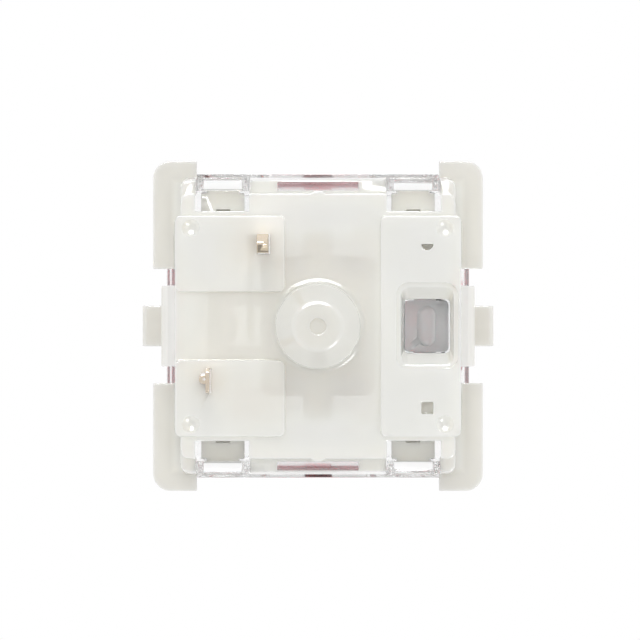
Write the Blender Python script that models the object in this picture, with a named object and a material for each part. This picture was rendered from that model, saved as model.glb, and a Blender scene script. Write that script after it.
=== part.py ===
"""Plate-mounted keyboard switch with a milky lower shell, a clear upper shell and a pink stem.

Lengths are in metres and +Z runs up the stem. The origin is the centre of the plate cut-out, at the
height of the plate's top face, on which the flange rests. +Y is the contact side, -Y the light side,
and the latches that join the two shells are on the +X and -X sides.
"""

import math

import bmesh
import bpy
from mathutils import Vector

MM = 0.001

# Mounting, as the plate and the circuit board fix it
PLATE_CUTOUT = 14.0 * MM
PLATE_THICKNESS = 1.5 * MM
PLATE_FIT = 0.025 * MM
SEAT_DEPTH = 5.0 * MM
PIN_LENGTH = 3.3 * MM
POST_DIAMETER = 3.9 * MM
PIN_1 = (-3.81 * MM, 2.54 * MM)
PIN_2 = (2.54 * MM, 5.08 * MM)
LIGHT_CENTRE_Y = -5.08 * MM
LEAD_HOLE_X = 3.81 * MM

# Flange of the lower shell
FLANGE_SIZE = 15.6 * MM
FLANGE_HEIGHT = 1.0 * MM
FLANGE_CORNER = 0.82 * MM
FLANGE_CHAMFER = 0.12 * MM
CLIP_NOTCH_HALF = 2.7 * MM

# Outline of the lower shell below the flange
BODY_DRAFT = 0.16 * MM
CORNER_HALF_Y = 6.43 * MM
STEP_HALF_X = 6.16 * MM
STEP_Z = -2.9 * MM
BODY_CORNER = 0.35 * MM
PAD_HALF_X = 5.13 * MM
PAD_HEIGHT = 0.2 * MM
PAD_INNER_X = 1.6 * MM
PAD_INNER_Y = 1.55 * MM
LIGHT_PAD_Y = -2.93 * MM
PAD_CORNER = 0.25 * MM
FLOOR_THICKNESS = 0.7 * MM
WALL = 0.75 * MM
POCKET_DEPTH = 0.35 * MM
STEM_POCKET_HALF_X = 3.9 * MM
STEM_POCKET_INNER_Y = 0.65 * MM
STEM_POCKET_OUTER_Y = 2.35 * MM
BLADE_POCKET_Y = (2.95 * MM, 4.3 * MM)
BLADE_POCKET_END_X = -2.65 * MM
SHEET_POCKET_Y = (2.3 * MM, 4.25 * MM)
SHEET_POCKET_END_X = 2.55 * MM
GATE_BUMP_RADIUS = 0.5 * MM
GATE_BUMP_PROUD = 0.14 * MM
DIMPLE_RADIUS = 0.55 * MM
DIMPLE_DEPTH = 0.2 * MM
DIMPLE_PLACE = (4.55 * MM, 5.9 * MM)

# Slots beside the latches, open to the clear skirt above
SIDE_SLOT_HALF_Y = 1.9 * MM
SIDE_SLOT_INNER = 6.35 * MM
SIDE_SLOT_OUTER = 6.75 * MM

# Central post and the guide tube inside it
POST_CONE_HEIGHT = 1.1 * MM
POST_TIP_RADIUS = 0.98 * MM
POST_SHOULDER_RADIUS = 1.33 * MM
POST_TIP_ROUND = 0.3 * MM
POST_ROOT_FILLET = 0.32 * MM
POST_DIMPLE_RADIUS = 0.38 * MM
POST_DIMPLE_DEPTH = 0.12 * MM
POST_END_WALL = 0.7 * MM
COLLAR_WALL = 0.45 * MM
COLLAR_HEIGHT = 1.7 * MM

# Latches of the upper shell and the barbs that they snap over
LATCH_Y = 4.46 * MM
LATCH_WIDTH = 2.3 * MM
LATCH_BAR = 0.3 * MM
LATCH_SIDE_GAP = 0.11 * MM
LATCH_BACK_GAP = 0.98 * MM
LATCH_THICKNESS = 0.62 * MM
LATCH_CROSSBAR = 1.0 * MM
LATCH_BOTTOM_Z = -3.3 * MM
LATCH_LEAD_IN = 0.5 * MM
LATCH_LEAD_IN_HEIGHT = 0.7 * MM
LATCH_COVER = 0.26 * MM
BARB_REACH = 1.5 * MM
BARB_ROOT_WIDTH = 2.03 * MM
BARB_SLOPE = 1.6 * MM
BARB_LIP = 0.18 * MM
BARB_SLOT_LENGTH = 0.66 * MM
BARB_SLOT_WIDTH = 0.13 * MM
BARB_SLOT_DEPTH = 1.1 * MM
SNAP_GAP = 0.08 * MM

# Clips that hold the switch in the plate
CLIP_HALF_X = 1.9 * MM
CLIP_SLIT = 0.16 * MM
CLIP_REACH = 0.36 * MM
CLIP_SLOPE = 1.7 * MM
CLIP_LIP = 0.2 * MM
CLIP_ROOT_Z = -3.9 * MM
CLIP_GRIP_GAP = 0.05 * MM
CLIP_TAB_HALF_X = 0.96 * MM
CLIP_TAB_REACH = 8.3 * MM
CLIP_TAB_RISE = 0.15 * MM
CLIP_TAB_THICKNESS = 0.6 * MM

# Light window
WINDOW_SIZE_X = 2.5 * MM
WINDOW_SIZE_Y = 2.15 * MM
WINDOW_CORNER = 0.2 * MM
WINDOW_BEVEL_X = 0.57 * MM
WINDOW_BEVEL_Y = 0.16 * MM
WINDOW_BEVEL_DEPTH = 0.62 * MM
WINDOW_STEP = 0.2 * MM
WINDOW_STEP_DEPTH = 0.12 * MM
LEAD_HOLE_SIZE = 0.55 * MM
LEAD_HOLE_DEPTH = 0.8 * MM
LEAD_HOLE_ROOF = 0.6 * MM

# Upper shell
TOP_HEIGHT = 6.6 * MM
TOP_SKIRT_HEIGHT = 1.25 * MM
TOP_LEDGE = 0.22 * MM
TOP_FACE_HALF_X = 5.28 * MM
TOP_FACE_HALF_Y = 4.28 * MM
TOP_EDGE = 0.25 * MM
TOP_CORNER = 0.8 * MM
TOP_WALL = 0.8 * MM
SHELL_GAP = 0.05 * MM
TOP_RIM_WIDTH = 0.5 * MM
TOP_RIM_HEIGHT = 0.15 * MM
TOP_NOTCH_HALF_X = 1.25 * MM
TOP_NOTCH_DEPTH = 0.3 * MM
TOP_NOTCH_HEIGHT = 0.8 * MM

# Stem
TRAVEL = 4.0 * MM
CROSS_LENGTH = 4.1 * MM
CROSS_ARM_X = 1.32 * MM
CROSS_ARM_Y = 1.17 * MM
CROSS_HEIGHT = 3.6 * MM
CROSS_CHAMFER = 0.18 * MM
STEM_SIZE_X = 6.6 * MM
STEM_SIZE_Y = 5.4 * MM
STEM_CORNER = 0.45 * MM
STEM_WALL = 0.7 * MM
STEM_ROOF = 2.0 * MM
STEM_EDGE = 0.12 * MM
STEM_FLOOR_GAP = 0.3 * MM
STEM_FIT = 0.12 * MM
POLE_RADIUS = 1.05 * MM
POLE_FIT = 0.15 * MM
POLE_END_GAP = 0.1 * MM
POLE_TIP_CHAMFER = 0.25 * MM
RAIL_REACH = 1.1 * MM
RAIL_HALF_Y = 0.7 * MM
RAIL_CORNER = 0.12 * MM
RAIL_FIT = 0.1 * MM
RAIL_END_GAP = 0.19 * MM
RAIL_STOP_GAP = 0.05 * MM
GUIDE_RIB_WIDTH = 0.7 * MM
GUIDE_RIB_REACH = 0.75 * MM
GUIDE_RIB_RISE = 1.4 * MM
CAM_INNER_X = 0.95 * MM
CAM_WIDTH = 0.75 * MM
CAM_FLOOR_GAP = 0.12 * MM
CAM_LEAD = 0.45 * MM
CAM_CROWN = 0.7 * MM
CAM_RUN_OUT = 1.5 * MM
CAM_NECK = 0.45 * MM

# Return spring
SPRING_WIRE = 0.28 * MM
SPRING_MEAN_RADIUS = 2.0 * MM
SPRING_FREE_TURNS = 8.5
SPRING_END_TURNS = 1.5
SPRING_END_PITCH = 0.31 * MM
SPRING_SEAT_GAP = 0.03 * MM

# Contacts
SLOT_FIT = 0.03 * MM
BLADE_LENGTH_X = 0.87 * MM
BLADE_THICKNESS = 0.55 * MM
BLADE_TIP = 0.45 * MM
BLADE_EDGE = 0.06 * MM
BLADE_CORNER = 0.1 * MM
PLATE_METAL = 0.3 * MM
STATIC_GAP = 0.3 * MM
STATIC_BASE_HEIGHT = 0.7 * MM
STATIC_FINGER_HALF_X = 0.6 * MM
STATIC_FINGER_RISE = 0.5 * MM
SHEET_METAL = 0.16 * MM
SHEET_PIN_WIDTH = 1.1 * MM
SHEET_PIN_TAPER = 0.1 * MM
SHEET_PIN_TIP = 0.3 * MM
SHEET_CURL_RADIUS = 0.15 * MM
SHEET_CURL_SHIFT = 0.1 * MM
SHEET_BACK_GAP = 0.43 * MM
SHEET_FOLD_RADIUS = 0.23 * MM
BACK_PLATE_TOP_Z = 0.7 * MM
BACK_PLATE_HALF_X = 1.75 * MM
LEAF_HALF_X = 1.7 * MM
LEAF_EAR_RISE = 0.25 * MM
LEAF_SLIT_X = 0.72 * MM
LEAF_SLIT_WIDTH = 0.14 * MM
LEAF_SLIT_BOTTOM_Z = -0.4 * MM
CONTACT_Z = 0.9 * MM
CONTACT_BAR_HEIGHT = 0.12 * MM
CONTACT_BAR_WIDTH = 0.3 * MM
CONTACT_BAR_LENGTH = 0.8 * MM
CONTACT_OPEN_GAP = 0.4 * MM
WELD_GAP = 0.01 * MM
CAM_GAP = 0.05 * MM

# Light guide
GUIDE_FIT = 0.05 * MM
GUIDE_FRONT_ROOM = 0.215 * MM
GUIDE_BOTTOM_Z = -3.2 * MM
GUIDE_EAR_REACH = 0.65 * MM
GUIDE_EAR_HEIGHT = 0.45 * MM
GUIDE_SINK = 0.2 * MM
GUIDE_HOLDER_GAP = 0.2 * MM
GUIDE_LENS_LENGTH = 1.9 * MM
GUIDE_LENS_WIDTH = 0.9 * MM
GUIDE_LENS_HEIGHT = 0.25 * MM

# Heights that follow from the sizes above
SEAT_Z = -SEAT_DEPTH
UNDERSIDE_Z = SEAT_Z + PAD_HEIGHT
FLOOR_Z = UNDERSIDE_Z + FLOOR_THICKNESS
PIN_TIP_Z = SEAT_Z - PIN_LENGTH
CEILING_Z = TOP_HEIGHT - TOP_WALL
SKIRT_Z = FLANGE_HEIGHT + SHELL_GAP
SHOULDER_Z = SKIRT_Z + TOP_SKIRT_HEIGHT
POST_HOLE_Z = PIN_TIP_Z + POST_END_WALL
LEAD_CHAMBER_Z = SEAT_Z + LEAD_HOLE_DEPTH + LEAD_HOLE_ROOF
STEM_BOTTOM_Z = FLOOR_Z + TRAVEL + STEM_FLOOR_GAP
STEM_ROOF_Z = TOP_HEIGHT - STEM_ROOF
POLE_TIP_Z = POST_HOLE_Z + TRAVEL + POLE_END_GAP
STATIC_BASE_Z = FLOOR_Z + SPRING_SEAT_GAP + STATIC_BASE_HEIGHT
CAM_BOTTOM_Z = STATIC_BASE_Z + TRAVEL + CAM_FLOOR_GAP
LEAF_TOP_Z = CAM_BOTTOM_Z + CAM_LEAD + CAM_CROWN + LEAF_EAR_RISE
STATIC_TOP_Z = CONTACT_Z + STATIC_FINGER_RISE
CLIP_BARB_Z = -PLATE_THICKNESS - CLIP_GRIP_GAP
LATCH_WINDOW_Z = LATCH_BOTTOM_Z + LATCH_CROSSBAR

# Widths that follow from the sizes above
BODY_HALF_X = PLATE_CUTOUT / 2 - PLATE_FIT
CURL_BACK_Y = PIN_2[1] + SHEET_METAL / 2 + 2 * SHEET_CURL_RADIUS
CAVITY_BACK_Y = CURL_BACK_Y + SHEET_BACK_GAP
BODY_HALF_Y = CAVITY_BACK_Y + WALL + BODY_DRAFT
STEM_HALF_X = STEM_SIZE_X / 2
STEM_HALF_Y = STEM_SIZE_Y / 2
CAVITY_HALF_X = STEM_HALF_X + RAIL_REACH + RAIL_END_GAP
LATCH_POCKET_X = CAVITY_HALF_X + WALL
LATCH_INNER_X = LATCH_POCKET_X + LATCH_BACK_GAP
TOP_SKIRT_HALF_X = LATCH_INNER_X + LATCH_THICKNESS + LATCH_COVER
TOP_SKIRT_HALF_Y = WINDOW_SIZE_Y / 2 - LIGHT_CENTRE_Y + GUIDE_FRONT_ROOM + TOP_WALL
SLOPE_HALF_X = TOP_SKIRT_HALF_X - TOP_LEDGE
SLOPE_HALF_Y = TOP_SKIRT_HALF_Y - TOP_LEDGE
CAVITY_FRONT_Y = -STEM_HALF_Y - STATIC_GAP
POCKET_HALF_WIDTH = LATCH_WIDTH / 2 + LATCH_SIDE_GAP
POLE_BORE = POLE_RADIUS + POLE_FIT
STATIC_Y = STEM_HALF_Y + STATIC_GAP
STATIC_BAR_Y = STATIC_Y + PLATE_METAL + WELD_GAP
LEAF_BAR_Y = STATIC_BAR_Y + CONTACT_BAR_HEIGHT + CONTACT_OPEN_GAP
LEAF_Y = LEAF_BAR_Y + CONTACT_BAR_HEIGHT + WELD_GAP

# How finely round shapes are drawn
POST_STEPS = 40
ROUND_STEPS = 4
COIL_STEPS = 20
WIRE_STEPS = 6
OVERLAP = 0.05 * MM
OUTSIDE = 1.0 * MM


def clear_scene():
    for obj in list(bpy.data.objects):
        bpy.data.objects.remove(obj, do_unlink=True)


def loft(name, rings):
    """A closed solid through rings that all have the same number of points, capped at both ends."""
    shape = bmesh.new()
    loops = [[shape.verts.new(point) for point in ring] for ring in rings]
    count = len(loops[0])
    for lower, upper in zip(loops, loops[1:]):
        for i in range(count):
            j = (i + 1) % count
            shape.faces.new((lower[i], lower[j], upper[j], upper[i]))
    shape.faces.new(loops[0])
    shape.faces.new(loops[-1])
    bmesh.ops.recalc_face_normals(shape, faces=shape.faces)
    mesh = bpy.data.meshes.new(name)
    shape.to_mesh(mesh)
    shape.free()
    obj = bpy.data.objects.new(name, mesh)
    bpy.context.collection.objects.link(obj)
    return obj


def at_height(outline, z):
    return [Vector((x, y, z)) for x, y in outline]


def upright(name, outline, z0, z1):
    """An outline in X and Y, extruded from z0 to z1."""
    return loft(name, [at_height(outline, z0), at_height(outline, z1)])


def along_x(name, outline, x0, x1):
    """An outline in Y and Z, extruded from x0 to x1."""
    return loft(name, [[Vector((x, y, z)) for y, z in outline] for x in (x0, x1)])


def along_y(name, outline, y0, y1):
    """An outline in X and Z, extruded from y0 to y1."""
    return loft(name, [[Vector((x, y, z)) for x, z in outline] for y in (y0, y1)])


def rectangle(x0, x1, y0, y1):
    return [(x0, y0), (x1, y0), (x1, y1), (x0, y1)]


def block(name, x0, x1, y0, y1, z0, z1):
    return upright(name, rectangle(x0, x1, y0, y1), z0, z1)


def arc(centre, radius, start, end, steps):
    """Points on an arc, with its angles in degrees."""
    return [
        (
            centre[0] + radius * math.cos(math.radians(start + (end - start) * i / steps)),
            centre[1] + radius * math.sin(math.radians(start + (end - start) * i / steps)),
        )
        for i in range(steps + 1)
    ]


def rounded(x0, x1, y0, y1, radius, steps=ROUND_STEPS):
    """A rectangle with round corners."""
    corners = ((x1, y1, 0), (x0, y1, 90), (x0, y0, 180), (x1, y0, 270))
    points = []
    for x, y, start in corners:
        centre = (
            x - radius if x == x1 else x + radius,
            y - radius if y == y1 else y + radius,
        )
        points += arc(centre, radius, start, start + 90, steps)
    return points


def centred(half_x, half_y, radius, centre=(0.0, 0.0), steps=ROUND_STEPS):
    """A rounded rectangle given by its centre and half sizes."""
    x, y = centre
    return rounded(x - half_x, x + half_x, y - half_y, y + half_y, radius, steps)


def turned(name, profile, steps=POST_STEPS, centre=(0.0, 0.0)):
    """A solid of revolution about a vertical line, from (radius, z) points."""
    rings = []
    for radius, z in profile:
        circle = arc(centre, radius, 0, 360, steps)[:-1]
        rings.append(at_height(circle, z))
    return loft(name, rings)


def combine(body, operation, tools):
    """Joins the tools to the body or cuts them out of it, and leaves one plain mesh."""
    for tool in tools:
        step = body.modifiers.new(tool.name, "BOOLEAN")
        step.operation = operation
        step.object = tool
    bpy.context.view_layer.update()
    evaluated = body.evaluated_get(bpy.context.evaluated_depsgraph_get())
    result = bpy.data.meshes.new_from_object(evaluated)
    body.modifiers.clear()
    body.data = result
    result.name = body.name
    for tool in tools:
        bpy.data.objects.remove(tool, do_unlink=True)
    return body


def join(body, *tools):
    return combine(body, "UNION", tools)


def cut(body, *tools):
    return combine(body, "DIFFERENCE", tools)


def finish(obj, colour, roughness, metallic=0.0, transmission=0.0, ior=1.5):
    """Gives the piece its material, and smooth shading on its round faces."""
    material = bpy.data.materials.new(obj.name)
    material.use_nodes = True
    shader = material.node_tree.nodes["Principled BSDF"]
    shader.inputs["Base Color"].default_value = (*colour, 1.0)
    shader.inputs["Roughness"].default_value = roughness
    shader.inputs["Metallic"].default_value = metallic
    shader.inputs["Transmission Weight"].default_value = transmission
    shader.inputs["IOR"].default_value = ior
    obj.data.materials.clear()
    obj.data.materials.append(material)
    obj.data.shade_smooth()
    obj.data.set_sharp_from_angle(angle=math.radians(28))
    return obj


def signs():
    return (-1, 1)


def flange():
    """The plate flange: four corner pieces, cut back between them to the body's own walls."""
    half = FLANGE_SIZE / 2
    lower = centred(half, half, FLANGE_CORNER, steps=6)
    upper_half = half - FLANGE_CHAMFER
    upper = centred(upper_half, upper_half, FLANGE_CORNER - FLANGE_CHAMFER, steps=6)
    plate = loft(
        "flange",
        [
            at_height(lower, 0.0),
            at_height(lower, FLANGE_HEIGHT - FLANGE_CHAMFER),
            at_height(upper, FLANGE_HEIGHT),
        ],
    )
    notch_y = LATCH_Y + POCKET_HALF_WIDTH
    low, high = -OUTSIDE, FLANGE_HEIGHT + OUTSIDE
    notches = []
    for side in signs():
        near, far = sorted((side * BODY_HALF_X, side * FLANGE_SIZE))
        notches.append(block("side_notch", near, far, -notch_y, notch_y, low, high))
        near, far = sorted((side * BODY_HALF_Y, side * FLANGE_SIZE))
        notches.append(block("clip_notch", -CLIP_NOTCH_HALF, CLIP_NOTCH_HALF, near, far, low, high))
    return cut(plate, *notches)


def body_blocks():
    """The stepped outline of the lower shell under the flange."""
    draft_y = BODY_HALF_Y - BODY_DRAFT
    return [
        loft(
            "upper_body",
            [
                at_height(centred(BODY_HALF_X - BODY_DRAFT, CORNER_HALF_Y, BODY_CORNER), STEP_Z),
                at_height(centred(BODY_HALF_X, CORNER_HALF_Y, BODY_CORNER), STEP_Z + PLATE_THICKNESS),
                at_height(centred(BODY_HALF_X, CORNER_HALF_Y, BODY_CORNER), FLANGE_HEIGHT),
            ],
        ),
        upright(
            "step_body",
            centred(STEP_HALF_X, CORNER_HALF_Y - OVERLAP, BODY_CORNER),
            UNDERSIDE_Z,
            STEP_Z + OVERLAP,
        ),
        loft(
            "wide_body",
            [
                at_height(centred(PAD_HALF_X, draft_y, BODY_CORNER), UNDERSIDE_Z),
                at_height(centred(PAD_HALF_X, BODY_HALF_Y, BODY_CORNER), 0.0),
                at_height(centred(PAD_HALF_X, BODY_HALF_Y, BODY_CORNER), FLANGE_HEIGHT),
            ],
        ),
    ]


def seat_pads():
    """The raised pads that meet the circuit board: one at each pin and one round the light window."""
    outer_y = BODY_HALF_Y - BODY_DRAFT
    areas = (
        (-PAD_HALF_X, -PAD_INNER_X, PAD_INNER_Y, outer_y),
        (PAD_INNER_X, PAD_HALF_X, PAD_INNER_Y, outer_y),
        (-PAD_HALF_X, PAD_HALF_X, -outer_y, LIGHT_PAD_Y),
    )
    top = UNDERSIDE_Z + OVERLAP
    return [upright("seat_pad", rounded(*area, PAD_CORNER), SEAT_Z, top) for area in areas]


def central_post():
    """The round post that enters the circuit board, with a filleted root and a coned tip."""
    radius = POST_DIAMETER / 2
    cone_z = PIN_TIP_Z + POST_CONE_HEIGHT
    tip_centre = (POST_TIP_RADIUS, PIN_TIP_Z + POST_TIP_ROUND)
    root_centre = (radius + POST_ROOT_FILLET, UNDERSIDE_Z - POST_ROOT_FILLET)
    profile = arc(tip_centre, POST_TIP_ROUND, 270, 330, ROUND_STEPS)
    profile.append((POST_SHOULDER_RADIUS, PIN_TIP_Z + POST_TIP_ROUND))
    profile.append((radius, cone_z))
    profile += arc(root_centre, POST_ROOT_FILLET, 180, 90, ROUND_STEPS)
    profile.append((radius + POST_ROOT_FILLET, UNDERSIDE_Z + OVERLAP))
    return turned("post", profile)


def gate_bumps():
    """The round witness of the moulding gate in the middle of each stepped side."""
    return [
        turned(
            "gate_bump",
            [(GATE_BUMP_RADIUS, UNDERSIDE_Z), (GATE_BUMP_RADIUS, STEP_Z + OVERLAP)],
            steps=20,
            centre=(side * (STEP_HALF_X + GATE_BUMP_PROUD - GATE_BUMP_RADIUS), 0.0),
        )
        for side in signs()
    ]


def inner_ribs():
    """The collar that guides the stem's pole, and the rib pairs that guide its rails."""
    collar_radius = POLE_BORE + COLLAR_WALL
    root_z = FLOOR_Z - OVERLAP
    ribs = [turned("collar", [(collar_radius, root_z), (collar_radius, FLOOR_Z + COLLAR_HEIGHT)])]
    rib_y = RAIL_HALF_Y + RAIL_FIT
    top_z = FLANGE_HEIGHT + GUIDE_RIB_RISE
    for side in signs():
        tip_x, root_x = CAVITY_HALF_X - GUIDE_RIB_REACH, CAVITY_HALF_X + WALL / 2
        near, far = sorted((side * tip_x, side * root_x))
        for edge in signs():
            low, high = sorted((edge * rib_y, edge * (rib_y + GUIDE_RIB_WIDTH)))
            ribs.append(block("guide_rib", near, far, low, high, root_z, top_z))
    return ribs


def latch_pockets():
    """The four open pockets in which the upper shell's latches hang."""
    pockets = []
    for side in signs():
        near, far = sorted((side * LATCH_POCKET_X, side * FLANGE_SIZE))
        for row in signs():
            middle = row * LATCH_Y
            pockets.append(
                block(
                    "latch_pocket",
                    near,
                    far,
                    middle - POCKET_HALF_WIDTH,
                    middle + POCKET_HALF_WIDTH,
                    SEAT_Z - OUTSIDE,
                    FLANGE_HEIGHT + OUTSIDE,
                )
            )
    return pockets


def barb_height(reach):
    """Height of a barb's sloped top at that distance from the pocket's wall."""
    rise = BARB_LIP + (BARB_SLOPE - BARB_LIP) * (BARB_REACH - reach) / BARB_REACH
    return LATCH_WINDOW_Z + SNAP_GAP + rise


def latch_barbs():
    """The wedges that the latch loops snap over: wide at the root, narrow inside the loop."""
    flat_z = LATCH_WINDOW_Z + SNAP_GAP
    root_end = LATCH_BACK_GAP - SNAP_GAP
    tip_width = LATCH_WIDTH - 2 * (LATCH_BAR + SNAP_GAP)
    barbs = []
    for side in signs():
        for start, end, width in (
            (-OVERLAP, root_end, BARB_ROOT_WIDTH),
            (root_end - OVERLAP, BARB_REACH, tip_width),
        ):
            near, far = side * (LATCH_POCKET_X + start), side * (LATCH_POCKET_X + end)
            outline = [
                (near, flat_z),
                (far, flat_z),
                (far, barb_height(end)),
                (near, barb_height(start)),
            ]
            for row in signs():
                middle = row * LATCH_Y
                barbs.append(along_y("barb", outline, middle - width / 2, middle + width / 2))
    return barbs


def plate_clips():
    """The sprung tongues' outer forms: a barb under the plate and a release tab above it."""
    parts = []
    root = BODY_HALF_Y - BODY_DRAFT - OVERLAP
    reach = PLATE_CUTOUT / 2 + CLIP_REACH
    for side in signs():
        barb = [
            (side * root, CLIP_BARB_Z),
            (side * reach, CLIP_BARB_Z),
            (side * reach, CLIP_BARB_Z - CLIP_LIP),
            (side * root, CLIP_BARB_Z - CLIP_SLOPE),
        ]
        parts.append(along_x("clip_barb", barb, -CLIP_HALF_X, CLIP_HALF_X))
        tab = [
            (side * root, CLIP_TAB_RISE),
            (side * (CLIP_TAB_REACH - CLIP_TAB_RISE), CLIP_TAB_RISE),
            (side * CLIP_TAB_REACH, 2 * CLIP_TAB_RISE),
            (side * CLIP_TAB_REACH, CLIP_TAB_RISE + CLIP_TAB_THICKNESS),
            (side * root, CLIP_TAB_RISE + CLIP_TAB_THICKNESS),
        ]
        parts.append(along_x("clip_tab", tab, -CLIP_TAB_HALF_X, CLIP_TAB_HALF_X))
    return parts


def barb_slots():
    """The narrow blind slot at the root of each barb, where the mould's core stood."""
    flat_z = LATCH_WINDOW_Z + SNAP_GAP
    half = BARB_SLOT_LENGTH / 2
    slots = []
    for side in signs():
        near, far = sorted((side * LATCH_POCKET_X, side * (LATCH_POCKET_X + BARB_SLOT_WIDTH)))
        for row in signs():
            middle = row * LATCH_Y
            low, high = flat_z - OUTSIDE, flat_z + BARB_SLOT_DEPTH
            slots.append(block("barb_slot", near, far, middle - half, middle + half, low, high))
    return slots


def clip_slits():
    """Slits that free each tongue from the wall beside it."""
    slits = []
    top = FLANGE_HEIGHT + OUTSIDE
    for side in signs():
        near, far = sorted((side * (CAVITY_BACK_Y - OVERLAP), side * FLANGE_SIZE))
        for edge in signs():
            left, right = sorted((edge * CLIP_HALF_X, edge * (CLIP_HALF_X + CLIP_SLIT)))
            slits.append(block("clip_slit", left, right, near, far, CLIP_ROOT_Z, top))
    window_front = LIGHT_CENTRE_Y - WINDOW_SIZE_Y / 2
    half = CLIP_HALF_X + CLIP_SLIT
    near, far = window_front - OVERLAP, OVERLAP - CAVITY_BACK_Y
    slits.append(block("clip_relief", -half, half, near, far, CLIP_ROOT_Z, top))
    return slits


def side_slots():
    return [
        block(
            "side_slot",
            *sorted((side * SIDE_SLOT_INNER, side * SIDE_SLOT_OUTER)),
            -SIDE_SLOT_HALF_Y,
            SIDE_SLOT_HALF_Y,
            UNDERSIDE_Z,
            FLANGE_HEIGHT + OUTSIDE,
        )
        for side in signs()
    ]


def chambers():
    """The hollow for the stem and the contacts, and the two beside the light window."""
    top = FLANGE_HEIGHT + OUTSIDE
    hollows = [
        upright(
            "main_chamber",
            rounded(-CAVITY_HALF_X, CAVITY_HALF_X, CAVITY_FRONT_Y, CAVITY_BACK_Y, BODY_CORNER),
            FLOOR_Z,
            top,
        )
    ]
    inner = WINDOW_SIZE_X / 2 + WALL + CLIP_SLIT
    for side in signs():
        near, far = sorted((side * (inner + WALL / 2), side * CAVITY_HALF_X))
        outline = rounded(near, far, -CAVITY_BACK_Y, CAVITY_FRONT_Y - WALL, PAD_CORNER)
        hollows.append(upright("lead_chamber", outline, LEAD_CHAMBER_Z, top))
    return hollows


def floor_pockets():
    """The thinner places in the floor: under the stem's four walls and beside the two pins."""
    areas = [
        (-CAVITY_HALF_X, BLADE_POCKET_END_X, *BLADE_POCKET_Y),
        (SHEET_POCKET_END_X, CAVITY_HALF_X, *SHEET_POCKET_Y),
    ]
    collar = POLE_BORE + COLLAR_WALL
    for side in signs():
        near, far = sorted((side * (collar + WALL), side * STEM_POCKET_HALF_X))
        for row in signs():
            low, high = sorted((row * STEM_POCKET_INNER_Y, row * STEM_POCKET_OUTER_Y))
            areas.append((near, far, low, high))
    low, high = FLOOR_Z - POCKET_DEPTH, FLOOR_Z + OVERLAP
    return [upright("pocket", rounded(*area, PAD_CORNER / 2, 2), low, high) for area in areas]


def light_window():
    """The window through the floor, with its bevelled surround and the shallow step round that."""
    centre = (0.0, LIGHT_CENTRE_Y)
    half_x = WINDOW_SIZE_X / 2
    half_y = WINDOW_SIZE_Y / 2
    bevel_z = SEAT_Z + WINDOW_STEP_DEPTH
    rim_x, rim_y = half_x + WINDOW_BEVEL_X, half_y + WINDOW_BEVEL_Y
    rim_corner = WINDOW_CORNER + WINDOW_BEVEL_Y
    shaft = upright(
        "window",
        centred(half_x, half_y, WINDOW_CORNER, centre),
        SEAT_Z - OUTSIDE,
        FLANGE_HEIGHT + OUTSIDE,
    )
    bevel = loft(
        "window_bevel",
        [
            at_height(centred(rim_x, rim_y, rim_corner, centre), SEAT_Z),
            at_height(centred(rim_x, rim_y, rim_corner, centre), bevel_z),
            at_height(centred(half_x, half_y, WINDOW_CORNER, centre), SEAT_Z + WINDOW_BEVEL_DEPTH),
        ],
    )
    step = upright(
        "window_step",
        centred(rim_x + WINDOW_STEP, rim_y + WINDOW_STEP, rim_corner + WINDOW_STEP, centre),
        SEAT_Z - OVERLAP,
        bevel_z,
    )
    return [shaft, bevel, step]


def lead_holes():
    """One square and one half-round blind hole beside the light window."""
    half = LEAD_HOLE_SIZE / 2
    square = centred(half, half, half / 4, (LEAD_HOLE_X, LIGHT_CENTRE_Y), 2)
    half_round = arc((-LEAD_HOLE_X, LIGHT_CENTRE_Y), half, -90, 90, 8)
    low, high = SEAT_Z - OUTSIDE, SEAT_Z + LEAD_HOLE_DEPTH
    return [upright("square_hole", square, low, high), upright("round_hole", half_round, low, high)]


def pin_slots():
    """The slots in the floor through which the two pins leave."""
    low, high = SEAT_Z - OUTSIDE, FLOOR_Z + OVERLAP
    x, y = PIN_1
    blade = centred(
        BLADE_LENGTH_X / 2 + SLOT_FIT, BLADE_THICKNESS / 2 + SLOT_FIT, SLOT_FIT, (x, y), 2
    )
    sheet = centred(
        SHEET_PIN_WIDTH / 2 + SLOT_FIT, SHEET_METAL / 2 + SLOT_FIT, SLOT_FIT, PIN_2, 2
    )
    x, y = PIN_2
    curl_half = SHEET_CURL_RADIUS + SHEET_METAL / 2 + SLOT_FIT
    curl = rounded(
        x - SHEET_CURL_SHIFT - curl_half,
        x - SHEET_CURL_SHIFT + curl_half,
        y,
        CURL_BACK_Y + SLOT_FIT,
        curl_half / 2,
    )
    return [
        upright("blade_slot", blade, low, high),
        upright("sheet_slot", sheet, low, high),
        upright("curl_slot", curl, low, high),
    ]


def seat_dimples():
    """The shallow ejector marks in the corners of the seat."""
    centre_z = SEAT_Z - DIMPLE_RADIUS + DIMPLE_DEPTH
    profile = [
        (r, centre_z + h)
        for r, h in arc((0.0, 0.0), DIMPLE_RADIUS, -80, 80, 8)
    ]
    return [
        turned("dimple", profile, steps=12, centre=(side * DIMPLE_PLACE[0], row * DIMPLE_PLACE[1]))
        for side in signs()
        for row in signs()
    ]


def post_hollows():
    """The bore for the stem's pole, blind at the tip, and the dimple in the tip."""
    bore = [
        (POLE_BORE - POLE_TIP_CHAMFER, POST_HOLE_Z),
        (POLE_BORE, POST_HOLE_Z + POLE_TIP_CHAMFER),
        (POLE_BORE, FLOOR_Z + COLLAR_HEIGHT + OUTSIDE),
    ]
    dimple = [
        (POST_DIMPLE_RADIUS, PIN_TIP_Z - OVERLAP),
        (POST_DIMPLE_RADIUS, PIN_TIP_Z + POST_DIMPLE_DEPTH),
    ]
    return [turned("bore", bore), turned("post_dimple", dimple, steps=20)]


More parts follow.
